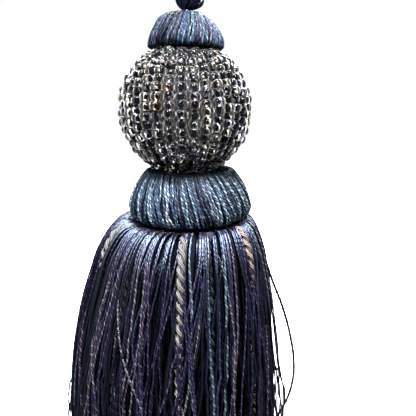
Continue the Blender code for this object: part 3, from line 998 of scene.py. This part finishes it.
skirt_pieces.append(
    made_by(
        threads, "skirt_yarn_loose",
        {
            "Outer Profile": profile_guide("loose_outer", LOOSE_OUTER), "Inner Profile": skirt_outer,
            "Threads": 80, "Points Along": 60, "Width": 0.42 * MM, "Crowding": 0.0, "Scatter": 4.0,
            "Depth Bias": 0.6, "Wander": 11 * MM, "Wander Waves": 3.0, "Kink": 1.6 * MM, "Kink Waves": 18.0,
            "Drift": 26 * MM, "Lift": 3 * MM, "Raggedness": 0.06, "Seed": 21, "Material": skirt_yarn,
        },
    ),
)
CROSSING_YARNS = [  # shade, then angle from the front in degrees and height in mm along the yarn
    (0.97, [(-46, -33.8), (-39, -36.2), (-34.6, -38.8), (-31, -43.7), (-23.7, -52.2), (-17, -57.5),
            (-14, -60.5), (-11, -64), (-7, -72), (-4, -86), (-5, -102), (-6, -118)]),
    (0.90, [(-10, -31.6), (-13.7, -34.9), (-15.6, -38.2), (-19, -45.5), (-18.4, -50.5),
            (-14.6, -56.2), (-13.6, -62), (-13, -66), (-13, -82), (-15, -100), (-14, -117)]),
    (0.97, [(-46, -33.8), (-45, -37.7), (-43.8, -40.9), (-46.4, -47.7), (-43, -56.3),
            (-37.8, -65.8), (-36, -72), (-37, -88), (-39, -104), (-38, -118)]),
    (0.97, [(24.5, -29.7), (28, -32.3), (31, -37.4), (32.7, -43), (34.3, -51.2), (33.4, -59.4),
            (34, -68), (36, -84), (35, -101), (36, -118)]),
]
YARN_PROUD = 0.5  # how far a crossing yarn lies over the others at most, in mm
YARN_SUNK = 0.2  # how deep it lies among them where it is YARN_TOP high, in mm
YARN_TOP = -36
YARN_RISE = 0.06  # how far it comes up in each mm of its way down
BOWED_YARN = len(CROSSING_YARNS) + 1
STRAY_Y = -5.0
STRAY_YARNS = [  # x and height in mm of the ones that stand off the sides
    [(16.5, -30.0), (19.3, -35.5), (21.9, -42.6), (24.9, -50.2), (27.2, -58), (28.7, -66.3),
     (28.8, -72.1), (27.4, -78.9), (25.3, -84), (24.6, -96), (24.9, -108), (25.2, -119)],
    [(-25.5, -42), (-27.5, -49), (-29, -56.5), (-29.7, -59.5), (-30.7, -63.1), (-31.4, -67.1),
     (-32, -71.2), (-32.4, -73.7), (-32.9, -76.3), (-32.7, -78.9), (-33.1, -84.2), (-32.6, -96),
     (-33.2, -108), (-32.4, -118)],
    [(-26.5, -48), (-28, -56), (-29, -61), (-29.8, -64.3), (-30.5, -66.2), (-30.8, -68.7),
     (-30.7, -70.9), (-31.6, -73.1), (-31.6, -75.7), (-31, -78.3), (-32, -80.9), (-31.6, -84.2),
     (-32, -96), (-31, -118)],
    [(-26, -45), (-28.4, -56.5), (-29.3, -61), (-29.1, -63.1), (-30.1, -65.3), (-29.8, -67.4),
     (-29.6, -69.6), (-30.2, -72.1), (-30.4, -75), (-31, -77.6), (-31.5, -84.2), (-30.6, -100)],
    [(-28, -58), (-29.5, -64), (-31, -68), (-32.4, -71.8), (-33.2, -73.7), (-33.5, -75.7),
     (-34.1, -78.3), (-34, -80.9), (-34.5, -84.2), (-34, -98)],
    [(20.6, -54), (21.9, -61), (22.3, -64.9), (22.9, -68), (23, -71.8), (23.8, -75.7),
     (24, -78.9), (24.8, -82.2), (24.9, -92), (24.3, -106), (24.6, -118)],
    [(20.8, -57), (22.5, -63.1), (23.4, -67.4), (24.1, -69.9), (24.4, -72.5), (24.9, -75),
     (25, -77), (25.8, -79.6), (26.3, -84), (25.8, -96), (26.2, -110)],
    [(21.2, -58), (22.8, -64), (23.7, -68), (24.9, -70.2), (25.7, -72.8), (26.7, -75.7),
     (26.8, -78.3), (26.7, -80.9), (26.1, -84), (25.2, -94), (25.6, -104)],
]


def on_skirt(degrees, height):
    """The place at an angle and a height where a yarn comes up through the skirt's surface."""
    proud = min(YARN_PROUD, (YARN_TOP - height) * YARN_RISE - YARN_SUNK)
    rows = SKIRT_OUTER[1:]
    for (r0, s0, h0), (r1, s1, h1) in zip(rows, rows[1:]):
        if h1 <= height <= h0:
            share = (height - h0) / (h1 - h0)
            radius, shift = r0 + (r1 - r0) * share + proud, s0 + (s1 - s0) * share
    angle = math.radians(degrees)
    return at(shift + radius * math.sin(angle), -radius * math.cos(angle), height)


routes = [(shade, [on_skirt(a, h) for a, h in places]) for shade, places in CROSSING_YARNS]
for places in STRAY_YARNS:
    routes.append((0.6, [at(x, STRAY_Y, height) for x, height in places]))
for number, (shade, route) in enumerate(routes, start=1):
    yarn_guide = guide(f"yarn_guide_{number}", route)
    skirt_pieces.append(
        made_by(
            plied_cord, f"skirt_yarn_crossing_{number}",
            {
                "Path": yarn_guide, "Plies": 2, "Diameter": (0.8 if number == BOWED_YARN else 0.5) * MM,
                "Ply Share": 0.75, "Pitch": 2 * MM, "Steps Per Turn": 6, "Sides": 5, "Shade": shade,
                "Material": skirt_yarn,
            },
        ),
    )
for piece in skirt_pieces:
    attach(piece, "root")
    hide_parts("skirt")


# ---- Twisted cords ------------------------------------------------------------------------
# Twelve two-ply gimp cords in a warm grey are sewn in among the outermost yarns. They are 2 mm
# thick and tightly twisted, with the fine fibres of each ply showing, and sink in on their way down.

GIMP_ANGLES = [0, 21, 51, 83, 113, 143, 172, 202, 232, 263, 298, 325]
HANG_TURN = 3.5  # degrees that the cords go round on their way down
SHOULDER_RADIUS = 16.6
HANG_SPREAD = 12.0
SINK_TOP = -29
SINK_DROP = 28
GIMP_ROUTE = [  # radius, shift in x, height above the ball's centre, in mm
    (14.5, 0.4, -28.1), (16.6, -0.5, -27.5), (20.0, -1.3, -30.0), (23.3, -2.2, -40.5),
    (26.7, -3.2, -57.5), (28.8, -3.6, -79.5), (29.0, -3.6, -120.5),
]
# How deep each lies in the yarns, in mm, at the shoulder and at its end.
GIMP_SINK = {1: (0.1, 1.36), 2: (2.4, 3.4), 3: (0.3, 2.6), 11: (0.9, 2.4)}
COVERED_SINK = (1.8, 2.6)
# Cord 3 is a warmer tan; cords 2 and 12 are coloured near black as painted shade, where they lie among the
# yarns.
GIMP_SHADES = {3: 0.7, 2: 0.95, 12: 0.95}
GIMP_ASIDE = {1: 1.8}  # degrees that a cord lies off its even place
# Dull fibres in soft, deep-cut plies with painted shade in their grooves, pale against the navy; two cords
# are painted dark as shade instead.
gimp_fibre = thread_shader(
    "warm grey gimp", [(0.0, "#5f5b56"), (0.5, "#70645a"), (0.9, "#25232d")], pitch=9 * MM, plies=5,
    roughness=0.7, relief=0.12 * MM, spread=0.55, shine=0.3,
)
for number, degrees in enumerate(GIMP_ANGLES, start=1):
    route = []
    for radius, shift, height in GIMP_ROUTE:
        aside = GIMP_ASIDE.get(number, 0.0)
        angle = math.radians(degrees + aside + HANG_TURN * (radius - SHOULDER_RADIUS) / HANG_SPREAD)
        if height < SINK_TOP:
            top, end = GIMP_SINK.get(number, COVERED_SINK)
            radius -= top + (end - top) * min(1.0, (SINK_TOP - height) / SINK_DROP)
        route.append(at(shift + radius * math.sin(angle), -radius * math.cos(angle), height))
    gimp_guide = guide(f"gimp_guide_{number}", route)
    gimp = made_by(
        plied_cord, f"gimp_twist_{number}",
        {
            "Path": gimp_guide, "Plies": 2, "Diameter": 2 * MM, "Ply Share": 0.51, "Pitch": 4.9 * MM,
            "Hand": -1.0, "Unevenness": 0.7, "Shade": GIMP_SHADES.get(number, 0.0), "Material": gimp_fibre,
        },
    )
    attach(gimp, "root")
    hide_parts(f"gimp_cord_{number}")

for made in [obj for obj in bpy.data.objects if obj.type == "CURVE"]:
    bpy.data.objects.remove(made)
